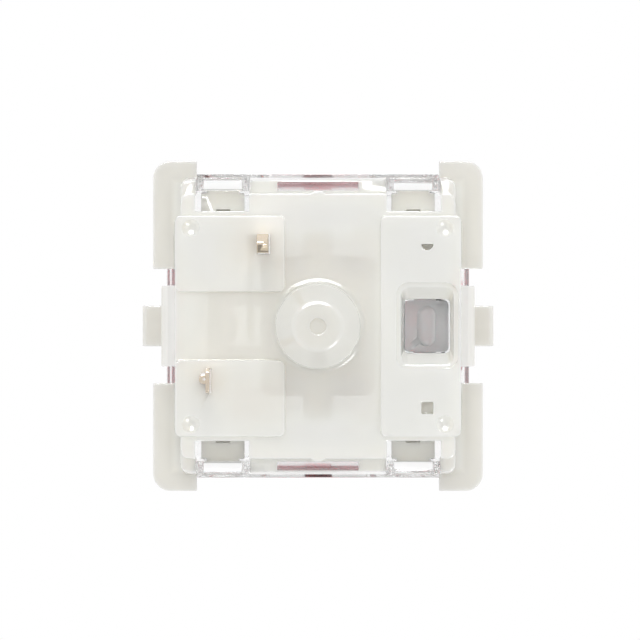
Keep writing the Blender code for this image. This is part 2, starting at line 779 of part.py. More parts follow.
def make_bottom_housing():
    shell = join(flange(), *body_blocks())
    shell = join(shell, *seat_pads(), central_post(), *gate_bumps())
    shell = cut(shell, *chambers(), *latch_pockets(), *side_slots())
    shell = join(shell, *inner_ribs(), *latch_barbs(), *plate_clips())
    shell = cut(shell, *light_window(), *clip_slits(), *pin_slots(), *lead_holes(), *seat_dimples())
    shell = cut(shell, *post_hollows(), *floor_pockets(), *barb_slots())
    shell.name = "bottom_housing"
    return finish(shell, (0.86, 0.85, 0.8), 0.35, transmission=0.3, ior=1.58)


def skirt_ring(inset, z, corner):
    """The upper shell's upright skirt at height z, its surface moved in by inset."""
    return at_height(centred(TOP_SKIRT_HALF_X - inset, TOP_SKIRT_HALF_Y - inset, corner), z)


def slope_ring(inset, z, corner):
    """The upper shell's sloped faces at height z, their surface moved in by inset."""
    rise = (z - SHOULDER_Z) / (TOP_HEIGHT - SHOULDER_Z)
    half_x = SLOPE_HALF_X + (TOP_FACE_HALF_X - SLOPE_HALF_X) * rise
    half_y = SLOPE_HALF_Y + (TOP_FACE_HALF_Y - SLOPE_HALF_Y) * rise
    return at_height(centred(half_x - inset, half_y - inset, corner), z)


def roof_height(y):
    """Height of the sloped front or back face at a distance y from the middle."""
    rise = (SLOPE_HALF_Y - abs(y)) / (SLOPE_HALF_Y - TOP_FACE_HALF_Y)
    return SHOULDER_Z + (TOP_HEIGHT - SHOULDER_Z) * min(rise, 1.0)


def release_notches():
    """The recesses in the skirt that leave room to press the clip tabs in."""
    notches = []
    for side in signs():
        near, far = sorted((side * (TOP_SKIRT_HALF_Y - TOP_NOTCH_DEPTH), side * FLANGE_SIZE))
        low, high = SKIRT_Z - OUTSIDE, SKIRT_Z + TOP_NOTCH_HEIGHT
        notches.append(
            block("notch", -TOP_NOTCH_HALF_X, TOP_NOTCH_HALF_X, near, far, low, high)
        )
    return notches


def latch(side, row):
    """One looped latch: two bars and a crossbar whose inner face leads in over the barb."""
    inner_x = LATCH_INNER_X
    outer_x = inner_x + LATCH_THICKNESS
    top_z = SKIRT_Z + TOP_SKIRT_HEIGHT / 2
    lead_in = [
        (
            inner_x + LATCH_LEAD_IN * (1 - math.cos(math.radians(turn))),
            LATCH_BOTTOM_Z + LATCH_LEAD_IN_HEIGHT * (1 - math.sin(math.radians(turn))),
        )
        for turn in (90, 72, 54, 36, 18, 0)
    ]
    outline = [(inner_x, top_z), (outer_x, top_z), (outer_x, LATCH_BOTTOM_Z), *lead_in]
    outline = [(side * x, z) for x, z in outline]
    middle = row * LATCH_Y
    bar = along_y("latch", outline, middle - LATCH_WIDTH / 2, middle + LATCH_WIDTH / 2)
    half = LATCH_WIDTH / 2 - LATCH_BAR
    window_top = LATCH_WINDOW_Z + SNAP_GAP + BARB_SLOPE + SNAP_GAP
    near, far = sorted((side * (inner_x - OUTSIDE), side * (outer_x + OUTSIDE)))
    window = block("loop", near, far, middle - half, middle + half, LATCH_WINDOW_Z, window_top)
    return cut(bar, window)


def guide_holders():
    """Ribs inside the front slope that hold the light guide's ears down."""
    low = FLANGE_HEIGHT + 2 * SHELL_GAP + GUIDE_EAR_HEIGHT
    inner = WINDOW_SIZE_X / 2 + GUIDE_HOLDER_GAP
    outer = WINDOW_SIZE_X / 2 - GUIDE_FIT + GUIDE_EAR_REACH
    ends = (LIGHT_CENTRE_Y - WINDOW_SIZE_Y / 4, LIGHT_CENTRE_Y + WINDOW_SIZE_Y / 4)
    outline = [(y, low) for y in ends]
    outline += [(y, roof_height(y) - TOP_WALL / 2) for y in reversed(ends)]
    return [
        along_x("holder", outline, *sorted((side * inner, side * outer))) for side in signs()
    ]


def make_top_housing():
    shell = loft(
        "top_housing",
        [
            skirt_ring(0.0, SKIRT_Z, TOP_CORNER),
            skirt_ring(0.0, SHOULDER_Z, TOP_CORNER),
            slope_ring(0.0, SHOULDER_Z, TOP_CORNER),
            slope_ring(0.0, TOP_HEIGHT - TOP_EDGE, TOP_CORNER),
            slope_ring(TOP_EDGE, TOP_HEIGHT, TOP_CORNER - TOP_EDGE),
        ],
    )
    hollow = loft(
        "hollow",
        [
            skirt_ring(TOP_WALL, SKIRT_Z - OVERLAP, TOP_CORNER / 2),
            skirt_ring(TOP_WALL, SHOULDER_Z - TOP_LEDGE, TOP_CORNER / 2),
            slope_ring(TOP_WALL, SHOULDER_Z, TOP_CORNER / 2),
            slope_ring(TOP_WALL, CEILING_Z, TOP_CORNER / 2),
        ],
    )
    shell = cut(shell, hollow, *release_notches())
    rim_x = STEM_HALF_X + STEM_FIT + TOP_RIM_WIDTH
    rim_y = STEM_HALF_Y + STEM_FIT + TOP_RIM_WIDTH
    rim = upright(
        "rim",
        centred(rim_x, rim_y, STEM_CORNER + TOP_RIM_WIDTH),
        CEILING_Z - OVERLAP,
        TOP_HEIGHT + TOP_RIM_HEIGHT,
    )
    shell = join(shell, rim, *[latch(side, row) for side in signs() for row in signs()])
    shell = join(shell, *guide_holders())
    opening = upright(
        "opening",
        centred(STEM_HALF_X + STEM_FIT, STEM_HALF_Y + STEM_FIT, STEM_CORNER + STEM_FIT),
        CEILING_Z - OUTSIDE,
        TOP_HEIGHT + OUTSIDE,
    )
    guide_opening = upright(
        "guide_opening",
        centred(WINDOW_SIZE_X / 2, WINDOW_SIZE_Y / 2, WINDOW_CORNER, (0.0, LIGHT_CENTRE_Y)),
        SHOULDER_Z,
        TOP_HEIGHT + OUTSIDE,
    )
    shell = cut(shell, opening, guide_opening)
    shell.name = "top_housing"
    return finish(shell, (0.97, 0.96, 0.96), 0.03, transmission=1.0, ior=1.58)


def stem_cross():
    """The cross that the keycap presses on to, chamfered at the top."""
    arms = []
    for half_x, half_y in (
        (CROSS_LENGTH / 2, CROSS_ARM_X / 2),
        (CROSS_ARM_Y / 2, CROSS_LENGTH / 2),
    ):
        top = TOP_HEIGHT + CROSS_HEIGHT
        rings = [
            at_height(rectangle(-half_x, half_x, -half_y, half_y), TOP_HEIGHT - OVERLAP),
            at_height(rectangle(-half_x, half_x, -half_y, half_y), top - CROSS_CHAMFER),
            at_height(
                rectangle(
                    CROSS_CHAMFER - half_x,
                    half_x - CROSS_CHAMFER,
                    CROSS_CHAMFER - half_y,
                    half_y - CROSS_CHAMFER,
                ),
                top,
            ),
        ]
        arms.append(loft("cross_arm", rings))
    return arms


def stem_cams():
    """The two legs whose cams hold the leaf's ears away from the static contact."""
    root = STEM_HALF_Y - OVERLAP
    crown = LEAF_Y - CAM_GAP
    crown_z = CAM_BOTTOM_Z + CAM_LEAD
    outline = [
        (root, CAM_BOTTOM_Z),
        (crown - CAM_LEAD, CAM_BOTTOM_Z),
        (crown, crown_z),
        (crown, crown_z + CAM_CROWN),
        (root + CAM_NECK, crown_z + CAM_CROWN + CAM_RUN_OUT),
        (root, crown_z + CAM_CROWN + CAM_RUN_OUT + CAM_NECK),
    ]
    cams = []
    for side in signs():
        near, far = sorted((side * CAM_INNER_X, side * (CAM_INNER_X + CAM_WIDTH)))
        cams.append(along_x("cam", outline, near, far))
    return cams


def stem_rails():
    """The rails on the latch sides, which run between the ribs and stop under the ceiling."""
    rails = []
    top = CEILING_Z - RAIL_STOP_GAP
    for side in signs():
        near, far = sorted((side * (STEM_HALF_X - OVERLAP), side * (STEM_HALF_X + RAIL_REACH)))
        outline = rounded(near, far, -RAIL_HALF_Y, RAIL_HALF_Y, RAIL_CORNER, 2)
        rails.append(upright("rail", outline, STEM_BOTTOM_Z, top))
    return rails


def make_stem():
    outline = centred(STEM_HALF_X, STEM_HALF_Y, STEM_CORNER)
    edge = centred(STEM_HALF_X - STEM_EDGE, STEM_HALF_Y - STEM_EDGE, STEM_CORNER - STEM_EDGE)
    stem = loft(
        "stem",
        [
            at_height(outline, STEM_BOTTOM_Z),
            at_height(outline, TOP_HEIGHT - STEM_EDGE),
            at_height(edge, TOP_HEIGHT),
        ],
    )
    inside = upright(
        "inside",
        centred(STEM_HALF_X - STEM_WALL, STEM_HALF_Y - STEM_WALL / 2, STEM_CORNER / 2),
        STEM_BOTTOM_Z - OUTSIDE,
        STEM_ROOF_Z,
    )
    stem = cut(stem, inside)
    pole = turned(
        "pole",
        [
            (POLE_RADIUS - POLE_TIP_CHAMFER, POLE_TIP_Z),
            (POLE_RADIUS, POLE_TIP_Z + POLE_TIP_CHAMFER),
            (POLE_RADIUS, STEM_ROOF_Z + OVERLAP),
        ],
        steps=24,
    )
    stem = join(stem, pole, *stem_cross(), *stem_rails(), *stem_cams())
    stem.name = "stem"
    return finish(stem, (0.86, 0.42, 0.47), 0.3, ior=1.48)


def make_return_spring():
    """The coil spring, with closed coils at both ends, swept round its helix."""
    low = FLOOR_Z + SPRING_SEAT_GAP + SPRING_WIRE / 2
    high = STEM_ROOF_Z - SPRING_SEAT_GAP - SPRING_WIRE / 2
    end_rise = SPRING_END_TURNS * SPRING_END_PITCH
    free_rise = high - low - 2 * end_rise
    turns = SPRING_FREE_TURNS + 2 * SPRING_END_TURNS

    def height(turn):
        """Rise of the wire after so many turns: slow in the end coils, even between them."""
        if turn < SPRING_END_TURNS:
            return turn * SPRING_END_PITCH
        if turn > turns - SPRING_END_TURNS:
            return high - low - (turns - turn) * SPRING_END_PITCH
        return end_rise + (turn - SPRING_END_TURNS) * free_rise / SPRING_FREE_TURNS

    rings = []
    steps = round(turns * COIL_STEPS)
    for i in range(steps + 1):
        turn = i / COIL_STEPS
        angle = 2 * math.pi * turn
        outward = Vector((math.cos(angle), math.sin(angle), 0.0))
        centre = SPRING_MEAN_RADIUS * outward + Vector((0.0, 0.0, low + height(turn)))
        rings.append(
            [
                centre + SPRING_WIRE / 2 * (outward * math.cos(a) + Vector((0.0, 0.0, math.sin(a))))
                for a in (2 * math.pi * k / WIRE_STEPS for k in range(WIRE_STEPS))
            ]
        )
    return finish(loft("return_spring", rings), (0.62, 0.6, 0.56), 0.25, metallic=1.0)


def make_static_contact():
    """The static terminal: a blade pin, a jog over the floor, and a plate with a contact finger."""
    x, y = PIN_1
    blade_x0, blade_x1 = x - BLADE_LENGTH_X / 2, x + BLADE_LENGTH_X / 2
    blade_y0, blade_y1 = y - BLADE_THICKNESS / 2, y + BLADE_THICKNESS / 2
    base = FLOOR_Z + SPRING_SEAT_GAP
    jog_top = base + PLATE_METAL / 2
    plate_y1 = STATIC_Y + PLATE_METAL
    section = rectangle(blade_x0, blade_x1, blade_y0, blade_y1)
    tip = rectangle(x - BLADE_EDGE, x + BLADE_EDGE, blade_y0 + BLADE_CORNER, blade_y1)
    blade = loft(
        "static_contact",
        [
            at_height(tip, PIN_TIP_Z),
            at_height(section, PIN_TIP_Z + BLADE_TIP),
            at_height(section, jog_top),
        ],
    )
    jog = block("jog", blade_x0, blade_x1, y, plate_y1, base, jog_top)
    low_plate = block(
        "low_plate",
        blade_x0,
        STATIC_FINGER_HALF_X,
        STATIC_Y,
        plate_y1,
        base,
        STATIC_BASE_Z,
    )
    half = STATIC_FINGER_HALF_X
    outline = rounded(-half, half, base, STATIC_TOP_Z, half / 2)
    finger = along_y("finger", outline, STATIC_Y, plate_y1)
    contact = join(blade, jog, low_plate, finger)
    contact.name = "static_contact"
    return finish(contact, (0.8, 0.68, 0.5), 0.28, metallic=1.0)


def thick_line(path, thickness):
    """The outline of a sheet of even thickness whose middle follows the path."""
    left, right = [], []
    for i, point in enumerate(path):
        before = Vector(path[max(i - 1, 0)])
        after = Vector(path[min(i + 1, len(path) - 1)])
        here = Vector(point)
        into = (here - before).normalized() if i > 0 else (after - here).normalized()
        out = (after - here).normalized() if i < len(path) - 1 else into
        middle = (into + out).normalized()
        normal = Vector((-middle.y, middle.x))
        reach = thickness / 2 / max(middle.dot(out), 0.5)
        left.append(tuple(here + normal * reach))
        right.append(tuple(here - normal * reach))
    return left + right[::-1]


def make_moving_contact():
    """The moving contact, one sheet: a rolled pin, a back plate, a fold, and the leaf with its tongue."""
    x, y = PIN_2
    half_metal = SHEET_METAL / 2
    base = FLOOR_Z + SPRING_SEAT_GAP
    fold_z = base + SHEET_FOLD_RADIUS + half_metal
    fold = arc((y - SHEET_FOLD_RADIUS, fold_z), SHEET_FOLD_RADIUS, 0, -180, 8)
    leaf_y = LEAF_Y + half_metal
    kink_z = CONTACT_Z - CONTACT_BAR_WIDTH
    path = [(y, BACK_PLATE_TOP_Z), *fold, (leaf_y, kink_z), (leaf_y, LEAF_TOP_Z)]
    leaf = along_x("moving_contact", thick_line(path, SHEET_METAL), -LEAF_HALF_X, LEAF_HALF_X)
    slits = []
    slit_back = y - half_metal - OVERLAP
    for side in signs():
        near, far = sorted((side * LEAF_SLIT_X, side * (LEAF_SLIT_X + LEAF_SLIT_WIDTH)))
        slits.append(
            block("slit", near, far, STATIC_Y, slit_back, LEAF_SLIT_BOTTOM_Z, LEAF_TOP_Z + OUTSIDE)
        )
    leaf = cut(leaf, *slits)
    pin_x0, pin_x1 = x - SHEET_PIN_WIDTH / 2, x + SHEET_PIN_WIDTH / 2
    back = block(
        "back_plate",
        -BACK_PLATE_HALF_X,
        pin_x1,
        y - half_metal,
        y + half_metal,
        fold_z,
        BACK_PLATE_TOP_Z,
    )
    curl_x = x - SHEET_CURL_SHIFT
    curl = arc((curl_x, y + SHEET_CURL_RADIUS), SHEET_CURL_RADIUS, -60, 240, 12)
    taper = SHEET_PIN_TAPER
    section = rectangle(pin_x0, pin_x1, y - half_metal, y + half_metal)
    tip = rectangle(pin_x0 + taper, pin_x1 - taper, y - half_metal, y + half_metal)
    flat_pin = loft(
        "flat_pin",
        [
            at_height(tip, PIN_TIP_Z),
            at_height(section, PIN_TIP_Z + SHEET_PIN_TIP),
            at_height(section, fold_z + OVERLAP),
        ],
    )
    rolled = upright("rolled", thick_line(curl, SHEET_METAL), PIN_TIP_Z + taper, FLOOR_Z)
    contact = join(leaf, back, flat_pin, rolled)
    contact.name = "moving_contact"
    return finish(contact, (0.8, 0.66, 0.46), 0.25, metallic=1.0)


def make_crosspoint(name, y0, lengthwise):
    """A welded contact bar, rounded on its contact side. The two bars cross each other."""
    half_width, half_length = CONTACT_BAR_WIDTH / 2, CONTACT_BAR_LENGTH / 2
    half_x, half_z = (half_length, half_width) if lengthwise else (half_width, half_length)
    inset = CONTACT_BAR_HEIGHT / 2
    y1 = y0 + CONTACT_BAR_HEIGHT
    wide = (half_x, half_z)
    narrow = (half_x - inset, half_z - inset)
    near, far = (narrow, wide) if lengthwise else (wide, narrow)

    def ring(half, y):
        return [
            Vector((sx * half[0], y, CONTACT_Z + sz * half[1]))
            for sx, sz in ((-1, -1), (1, -1), (1, 1), (-1, 1))
        ]

    bar = loft(name, [ring(near, y0), ring(wide, (y0 + y1) / 2), ring(far, y1)])
    return finish(bar, (0.9, 0.7, 0.35), 0.2, metallic=1.0)


def make_light_guide():
    """The clear lens column over the light window, held by its ears between the two shells."""
    centre = (0.0, LIGHT_CENTRE_Y)
    half_x = WINDOW_SIZE_X / 2 - GUIDE_FIT
    half_y = WINDOW_SIZE_Y / 2 - GUIDE_FIT
    outline = centred(half_x, half_y, WINDOW_CORNER, centre)
    top = [Vector((px, py, roof_height(py) - GUIDE_SINK)) for px, py in outline]
    column = loft("light_guide", [at_height(outline, GUIDE_BOTTOM_Z), top])
    ear_z = FLANGE_HEIGHT + SHELL_GAP
    ears = block(
        "ears",
        -half_x - GUIDE_EAR_REACH,
        half_x + GUIDE_EAR_REACH,
        LIGHT_CENTRE_Y - half_y / 2,
        LIGHT_CENTRE_Y + half_y / 2,
        ear_z,
        ear_z + GUIDE_EAR_HEIGHT,
    )
    lens_rings = []
    for i in range(ROUND_STEPS + 1):
        angle = math.radians(80 * i / ROUND_STEPS)
        grow = math.sin(angle) * 0.8 + 0.2
        drop = GUIDE_LENS_HEIGHT * math.cos(angle)
        radius = GUIDE_LENS_WIDTH / 2 * grow
        half_length = GUIDE_LENS_LENGTH / 2 - GUIDE_LENS_WIDTH / 2 + radius
        lens_rings.append(
            at_height(centred(half_length, radius, radius * 0.98, centre), GUIDE_BOTTOM_Z - drop)
        )
    lens_rings.append(
        [Vector((p.x, p.y, GUIDE_BOTTOM_Z + OVERLAP)) for p in lens_rings[-1]]
    )
    guide = join(column, ears, loft("lens", lens_rings))
    guide.name = "light_guide"
    return finish(guide, (0.8, 0.78, 0.8), 0.05, transmission=1.0, ior=1.5)


def main():
    clear_scene()
    make_bottom_housing()
    make_top_housing()
    make_stem()
    make_return_spring()
    make_static_contact()
    make_moving_contact()
    make_crosspoint("static_crosspoint", STATIC_BAR_Y, lengthwise=False)
    make_crosspoint("moving_crosspoint", LEAF_BAR_Y, lengthwise=True)
    make_light_guide()


main()
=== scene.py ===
"""Looks of the keyboard switch: milky lower shell, clear upper shell, pink stem, seen from below.

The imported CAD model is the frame. Each solid is dressed by a finer piece that rides on its body,
with rounded edges and moulded or stamped detail. Lengths are in metres and +Z runs up the stem.
"""

import math

import bmesh
import bpy
from mathutils import Matrix, Vector


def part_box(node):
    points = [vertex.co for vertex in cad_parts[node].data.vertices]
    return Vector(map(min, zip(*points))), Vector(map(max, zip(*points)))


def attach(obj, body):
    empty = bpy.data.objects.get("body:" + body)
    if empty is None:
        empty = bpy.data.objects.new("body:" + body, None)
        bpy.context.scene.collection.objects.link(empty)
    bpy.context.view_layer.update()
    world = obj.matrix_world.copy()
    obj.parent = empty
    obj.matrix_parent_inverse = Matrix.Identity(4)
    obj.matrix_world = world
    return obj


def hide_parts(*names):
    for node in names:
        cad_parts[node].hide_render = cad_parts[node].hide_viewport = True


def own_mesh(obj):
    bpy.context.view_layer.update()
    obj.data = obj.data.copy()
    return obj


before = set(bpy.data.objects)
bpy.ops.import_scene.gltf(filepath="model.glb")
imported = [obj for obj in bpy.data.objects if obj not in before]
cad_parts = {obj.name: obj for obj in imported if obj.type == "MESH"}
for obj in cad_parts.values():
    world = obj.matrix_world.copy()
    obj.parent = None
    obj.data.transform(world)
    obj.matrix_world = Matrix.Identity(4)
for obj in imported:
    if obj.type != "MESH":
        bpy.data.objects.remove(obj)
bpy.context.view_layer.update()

MM = 0.001

# Cleaning of the CAD meshes
MERGE_DISTANCE = 0.0002 * MM
FLAT_ANGLE = math.radians(0.6)

# Rounding of edges. The multiples count widths of the rounding.
ROUNDED_ANGLE = math.radians(28.0)
SHARP_SHADING_ANGLE = math.radians(38)
ROUNDING_SEGMENTS = 2
ROUNDING_TRIES = 8
CLEAR_REACH = 2.1
SHORT_EDGE = 1.5
SHELL_EDGE = 0.05 * MM
CLEAR_SHELL_EDGE = 0.03 * MM
STEM_EDGE = 0.05 * MM

# Where along an edge its faces are tested for room, apart from near both ends
MIDDLE_SHARES = (0.35, 0.5, 0.65)
WIDEST_MARGIN = 0.3
MARGIN_REACH = 0.75

# Below these, two edges count as parallel and a point counts as lying on an edge
PARALLEL = 1e-14
TOUCHING = 1e-9

# A face is folded over when this share of its area is turned round
FOLDED_SHARE = 0.3
SMALLEST_AREA = 1e-10

# Upper shell: its ledge and corner in the CAD, what is left of the ledge, and how far the inside
# of its skirt stays upright above it. The ledge's outer line lies in a band, in ledge widths.
LEDGE = 0.22 * MM
LEDGE_LEFT = 0.02 * MM
LEDGE_BAND = (0.5, 1.6)
SHELL_CORNER = 0.8 * MM
INNER_BAND = 1.6 * SHELL_CORNER
UPRIGHT_RISE = 0.65 * MM
TOLERANCE = 0.005 * MM

# Return spring
SPRING_WIRE = 0.28 * MM
SPRING_FREE_TURNS = 8.5
SPRING_END_TURNS = 1.5
SPRING_END_PITCH = 0.31 * MM
WIRE_END_SCALE = 0.75
COIL_STEPS = 40
WIRE_STEPS = 14

# Contacts: CAD node, width of the rounding, material slot
CONTACTS = (
    ("static_contact", 0.04 * MM, "contact_alloy"),
    ("moving_contact", 0.03 * MM, "contact_alloy"),
    ("static_crosspoint", 0.02 * MM, "crosspoint_gold"),
    ("moving_crosspoint", 0.02 * MM, "crosspoint_gold"),
)

# The part of a noise's 0 to 1 range that holds most of it
NOISE_SPAN = (0.3, 0.7)

# Milky plastic: colours where it is thin and thick, the darker thin one being painted shade, and
# how much it covers there
MILKY_DEPTH = 1.0 * MM
MILKY_DEPTH_SPAN = (0.1, 0.8)
MILKY_THIN_SHADE_AND_COLOUR = ((0.89, 0.87, 0.81), (0.96, 0.945, 0.885))
MILKY_COVER = (0.9, 0.955)
DEPTH_SAMPLES = 16
VEIL_SHADES = ((0.985, 0.985, 0.98), (1.0, 1.0, 1.0))

# Its edges are paler, within a short depth: a painted highlight
EDGE_DEPTH = 0.1 * MM
EDGE_DEPTH_SPAN = (0.3, 0.9)
EDGE_HIGHLIGHT_STRENGTH = (0.8, 0.0)
EDGE_PAINTED_HIGHLIGHT = (0.99, 0.985, 0.97)

# Its flange is greyer by painted shade, from one distance from the middle to the other
FLANGE_SPAN = (6.75 * MM, 7.0 * MM)
FLANGE_PAINTED_SHADE = (0.9, 0.9, 0.905)

# Darker and lighter shade of the other materials
CLEAR_SHADES = ((0.98, 0.985, 0.985), (0.995, 0.995, 0.995))
PINK_SHADES = ((0.88, 0.63, 0.655), (0.905, 0.67, 0.69))
LENS_SHADES = ((0.94, 0.965, 0.965), (0.96, 0.98, 0.98))
BRASS_SHADES = ((0.77, 0.665, 0.53), (0.8, 0.7, 0.57))
GOLD_SHADES = ((0.85, 0.6, 0.25), (0.93, 0.72, 0.38))
STEEL_SHADES = ((0.5, 0.49, 0.47), (0.62, 0.61, 0.59))

# Stretch of a noise, the same all ways or drawn out along Z
EVEN = (1.0, 1.0, 1.0)
FLOW_LINES = (1.0, 1.0, 0.4)
ROLLING_LINES = (1.0, 1.0, 0.1)

# Height of the bumps that grain makes
PLASTIC_GRAIN = 0.003 * MM
METAL_GRAIN = 0.0004 * MM
METAL_ROUGHNESS_SPAN = 0.06

# The photograph's camera
FOCAL_LENGTH_MM = 339.1
SENSOR_MM = 36.0
CAMERA_CLIP = (0.01, 10.0)
CAMERA_PLACE = Vector((-0.284, -0.095, -285.0)) * MM
CAMERA_RIGHT = Vector((0.0, -1.0, 0.0))
CAMERA_UP = Vector((-1.0, 0.0, 0.0))

# The floor
FLOOR_DEPTH = 420.0 * MM
FLOOR_HALF = 900.0 * MM
FLOOR_CELLS = 12
FLOOR_GREY = (0.9, 0.9, 0.9)

# Lamps: name, place, diameter, power in watts, and whether they light surfaces or only show in
# reflections
LAMPS = (
    ("key", (-0.17, 0.02, -0.22), 0.07, 0.06, True),
    ("softbox", (-0.19, 0.02, -0.2), 0.25, 1.7, False),
    ("fill", (0.15, -0.13, -0.2), 0.06, 0.03, True),
    ("corner_softbox", (0.17, -0.15, -0.17), 0.13, 0.24, False),
    ("upper_key", (0.2, -0.2, 0.26), 0.24, 0.07, True),
    ("upper_fill", (-0.24, 0.18, 0.2), 0.24, 0.03, True),
)

# What the camera sees behind the switch, and the light that comes from all around
WHITE = (1.0, 1.0, 1.0)
AMBIENT_GREY = (0.86, 0.86, 0.86)

# Grey levels that show in reflections, from straight below (0) to straight above (1)
REFLECTED_LEVELS = (
    (0.0, 1.0),
    (0.1, 1.0),
    (0.15, 0.5),
    (0.22, 0.5),
    (0.3, 1.0),
    (0.68, 1.0),
    (0.73, 0.5),
    (0.79, 0.5),
    (0.85, 1.0),
    (1.0, 1.0),
)

# Grey levels of a dark card far to the +X side, along the X of a direction
CARD_LEVELS = ((0.0, 1.0), (0.86, 1.0), (0.93, 0.35), (1.0, 0.35))

# How often light is followed on, through the clear shell's walls and off them
LIGHT_BOUNCES = 32
TRANSPARENT_BOUNCES = 16


def read_mesh(node):
    """A copy of a CAD node's solid, with its flat faces made whole again."""
    shape = bmesh.new()
    shape.from_mesh(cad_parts[node].data)
    bmesh.ops.remove_doubles(shape, verts=shape.verts, dist=MERGE_DISTANCE)
    bmesh.ops.dissolve_limit(shape, angle_limit=FLAT_ANGLE, verts=shape.verts, edges=shape.edges)
    return shape


def write_object(shape, name):
    mesh = bpy.data.meshes.new(name)
    shape.to_mesh(mesh)
    shape.free()
    obj = bpy.data.objects.new(name, mesh)
    bpy.context.collection.objects.link(obj)
    return obj


def bevelled(shape, indices, width):
    """A copy of the shape with the edges of those indices rounded."""
    trial = shape.copy()
    trial.edges.ensure_lookup_table()
    bmesh.ops.bevel(
        trial,
        geom=[trial.edges[i] for i in indices],
        offset=width,
        offset_type="OFFSET",
        segments=ROUNDING_SEGMENTS,
        profile=0.5,
        affect="EDGES",
        clamp_overlap=False,
        miter_outer="SHARP",
    )
    trial.normal_update()
    return trial


def has_room(edge, reach):
    """Whether both faces beside an edge stay clear of other edges as far as the reach."""
    for loop in edge.link_loops:
        face = loop.face
        start, end = loop.vert.co, loop.link_loop_next.vert.co
        inward = face.normal.cross(end - start).normalized()
        margin = min(WIDEST_MARGIN, MARGIN_REACH * reach / (end - start).length)
        for share in (margin, *MIDDLE_SHARES, 1.0 - margin):
            point = start.lerp(end, share)
            for other in face.edges:
                corner, side = other.verts[0].co, other.verts[1].co - other.verts[0].co
                across = inward.cross(side).dot(face.normal)
                if other == edge or abs(across) < PARALLEL:
                    continue
                distance = (corner - point).cross(side).dot(face.normal) / across
                along = (corner - point).cross(inward).dot(face.normal) / across
                if TOUCHING < distance < reach and 0.0 <= along <= 1.0:
                    return False
    return True


def drop_short_ends(shape, chosen, reach):
    """Leaves out the edges that end beside an unrounded edge too short to take the rounding."""
    settled = False
    while not settled:
        settled = True
        for vert in shape.verts:
            here = {e for e in vert.link_edges if e in chosen}
            for edge in set(vert.link_edges) - here:
                both = any(e in chosen for e in edge.other_vert(vert).link_edges)
                if here and edge.calc_length() < (2 * reach if both else reach):
                    chosen -= here
                    settled = False
                    break


def folded_places(shape):
    """The middles of faces that the rounding has folded over."""
    areas = {}
    for loops in shape.calc_loop_triangles():
        a, b, c = (loop.vert.co for loop in loops)
        normal = (b - a).cross(c - a) / 2
        whole, signed = areas.get(loops[0].face, (0.0, 0.0))
        areas[loops[0].face] = (whole + normal.length, signed + normal.dot(loops[0].face.normal))
    return [
        face.calc_center_median()
        for face, (whole, signed) in areas.items()
        if whole - signed > FOLDED_SHARE * whole and whole > SMALLEST_AREA
    ]


def distance_to(edge, place):
    start, end = (v.co for v in edge.verts)
    share = (place - start).dot(end - start) / (end - start).length_squared
    return (start.lerp(end, min(max(share, 0.0), 1.0)) - place).length


def round_edges(shape, width):
    """Rounds the sharp edges, apart from those beside which a face would fold over."""
    shape.normal_update()
    sharp = {e for e in shape.edges if e.calc_face_angle(0.0) > ROUNDED_ANGLE}
    chosen = {e for e in sharp if has_room(e, CLEAR_REACH * width)}
    drop_short_ends(shape, chosen, SHORT_EDGE * width)
    for _ in range(ROUNDING_TRIES):
        shape.edges.index_update()
        result = bevelled(shape, sorted(e.index for e in chosen), width)
        folds = folded_places(result)
        if not folds:
            break
        for place in folds:
            chosen.discard(min(chosen, key=lambda e: distance_to(e, place)))
        drop_short_ends(shape, chosen, SHORT_EDGE * width)
        result.free()
    shape.free()
    return result


def dress(obj, body, material, node):
    """Shades the piece smooth, gives it its material, ties it to its body and hides its CAD node.
    """
    obj.data.materials.append(material)
    obj.data.shade_smooth()
    obj.data.set_sharp_from_angle(angle=SHARP_SHADING_ANGLE)
    normals = obj.modifiers.new("even_shading", "WEIGHTED_NORMAL")
    normals.keep_sharp = True
    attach(obj, body)
    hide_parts(node)


def new_material(name):
    """A material, its node tree and its shader."""
    material = bpy.data.materials.new(name)
    material.use_nodes = True
    return material, material.node_tree, material.node_tree.nodes["Principled BSDF"]


def feed(tree, socket, value):
    """Gives a socket a number, a colour or what another node puts out."""
    if isinstance(value, bpy.types.NodeSocket):
        tree.links.new(value, socket)
    elif socket.type == "RGBA":
        socket.default_value = (*value, 1.0)
    else:
        socket.default_value = value


def set_up(tree, node, values):
    """Feeds the inputs of a node by their names."""
    for name, value in values.items():
        feed(tree, node.inputs[name], value)


def noise(tree, scale, stretch=EVEN, detail=2.0):
    """Noise in the piece's own coordinates; the scale counts bumps in a millimetre."""
    place = tree.nodes.new("ShaderNodeTexCoord")
    mapping = tree.nodes.new("ShaderNodeMapping")
    texture = tree.nodes.new("ShaderNodeTexNoise")
    scales = [share / MM for share in stretch]
    set_up(tree, mapping, {"Vector": place.outputs["Object"], "Scale": scales})
    mapped = mapping.outputs["Vector"]
    set_up(tree, texture, {"Vector": mapped, "Scale": scale, "Detail": detail})
    return texture.outputs["Fac"]


def stretched(tree, value, before, after):
    """Carries a value over from one range to another, and holds it at their ends."""
    node = tree.nodes.new("ShaderNodeMapRange")
    values = {"Value": value, "From Min": before[0], "From Max": before[1]}
    set_up(tree, node, {**values, "To Min": after[0], "To Max": after[1]})
    return node.outputs["Result"]


def ramp(tree, value, places, colours):
    """Colours along a 0 to 1 value."""
    node = tree.nodes.new("ShaderNodeValToRGB")
    elements = node.color_ramp.elements
    while len(elements) < len(places):
        elements.new(0.5)
    for element, place, colour in zip(elements, places, colours):
        element.position = place
        element.color = (*colour, 1.0)
    tree.links.new(value, node.inputs["Fac"])
    return node.outputs["Color"]


def grey_ramp(tree, value, levels):
    """Greys along a 0 to 1 value, from pairs of place and level."""
    places, greys = zip(*levels)
    return ramp(tree, value, places, [(grey, grey, grey) for grey in greys])


